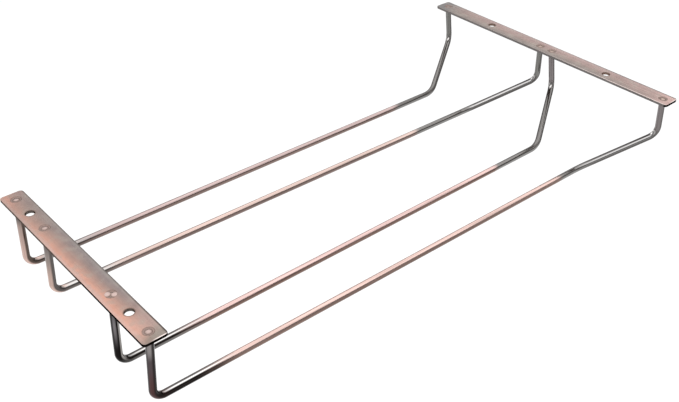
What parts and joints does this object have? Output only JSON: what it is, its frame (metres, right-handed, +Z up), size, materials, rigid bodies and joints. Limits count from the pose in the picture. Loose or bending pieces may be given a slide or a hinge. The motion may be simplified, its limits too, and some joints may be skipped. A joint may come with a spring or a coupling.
{
  "type": "hanging stemware rack",
  "caption": "Under-shelf hanging rack of bent plated rods on flat strips: stemmed glasses slide upside down into its flared channels.",
  "frame": {"origin": "centre of the rear strip's top face, which lies against the shelf", "axes": "+X to the right along the strips, +Y along the rods from the flared entry to the closed rear end, +Z up to the shelf"},
  "size_m": [0.246, 0.454, 0.0611],
  "materials": {
    "strip_plating": "brushed antique copper plating on steel strip",
    "rod_plating": "glossy antique copper plating on steel rod",
    "weld_plating": "plated ring weld, linished just under flush"
  },
  "bodies": {
    "root": {"rear_strip": "strip_plating", "front_strip": "strip_plating", "left_outer_rod": "rod_plating", "left_inner_rod": "rod_plating", "right_inner_rod": "rod_plating", "right_outer_rod": "rod_plating", "rear_weld_1": "weld_plating", "rear_weld_2": "weld_plating", "rear_weld_3": "weld_plating", "rear_weld_4": "weld_plating", "front_weld_1": "weld_plating", "front_weld_2": "weld_plating", "front_weld_3": "weld_plating", "front_weld_4": "weld_plating"}
  },
  "joints": []
}
